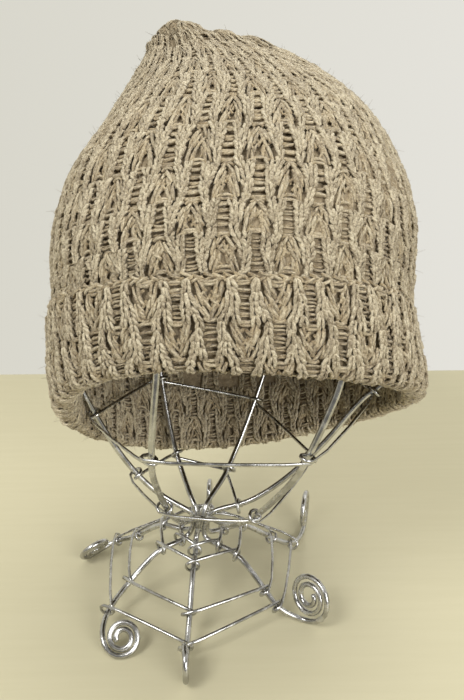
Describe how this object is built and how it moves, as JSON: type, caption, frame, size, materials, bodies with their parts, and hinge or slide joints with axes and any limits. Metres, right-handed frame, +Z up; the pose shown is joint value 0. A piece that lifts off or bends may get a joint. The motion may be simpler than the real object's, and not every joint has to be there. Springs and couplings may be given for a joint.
{
  "type": "knit cap on a wire stand",
  "caption": "Chunky openwork knit beanie with a turned-up cuff, slouched back on a free-standing display stand of bent aluminium wire with scroll feet.",
  "frame": {"origin": "on the surface that the stand's feet rest on, under the middle of the whole object's box", "axes": "+Z is up, the front of the cap with its raised rim faces -Y, and +X is to the right seen from the front"},
  "size_m": [0.1926, 0.2198, 0.31],
  "materials": {
    "wool_knit": "matte",
    "aluminium_wire": "polished"
  },
  "bodies": {
    "root": {"crown": "wool_knit", "cuff": "wool_knit", "stand_wire_1": "aluminium_wire", "stand_wire_2": "aluminium_wire", "stand_wire_3": "aluminium_wire", "stand_wire_4": "aluminium_wire", "stand_wire_5": "aluminium_wire", "stand_wire_6": "aluminium_wire", "bowl_web": "aluminium_wire", "base_ring_1": "aluminium_wire", "base_ring_2": "aluminium_wire", "base_ring_3": "aluminium_wire", "base_ring_4": "aluminium_wire"}
  },
  "joints": []
}
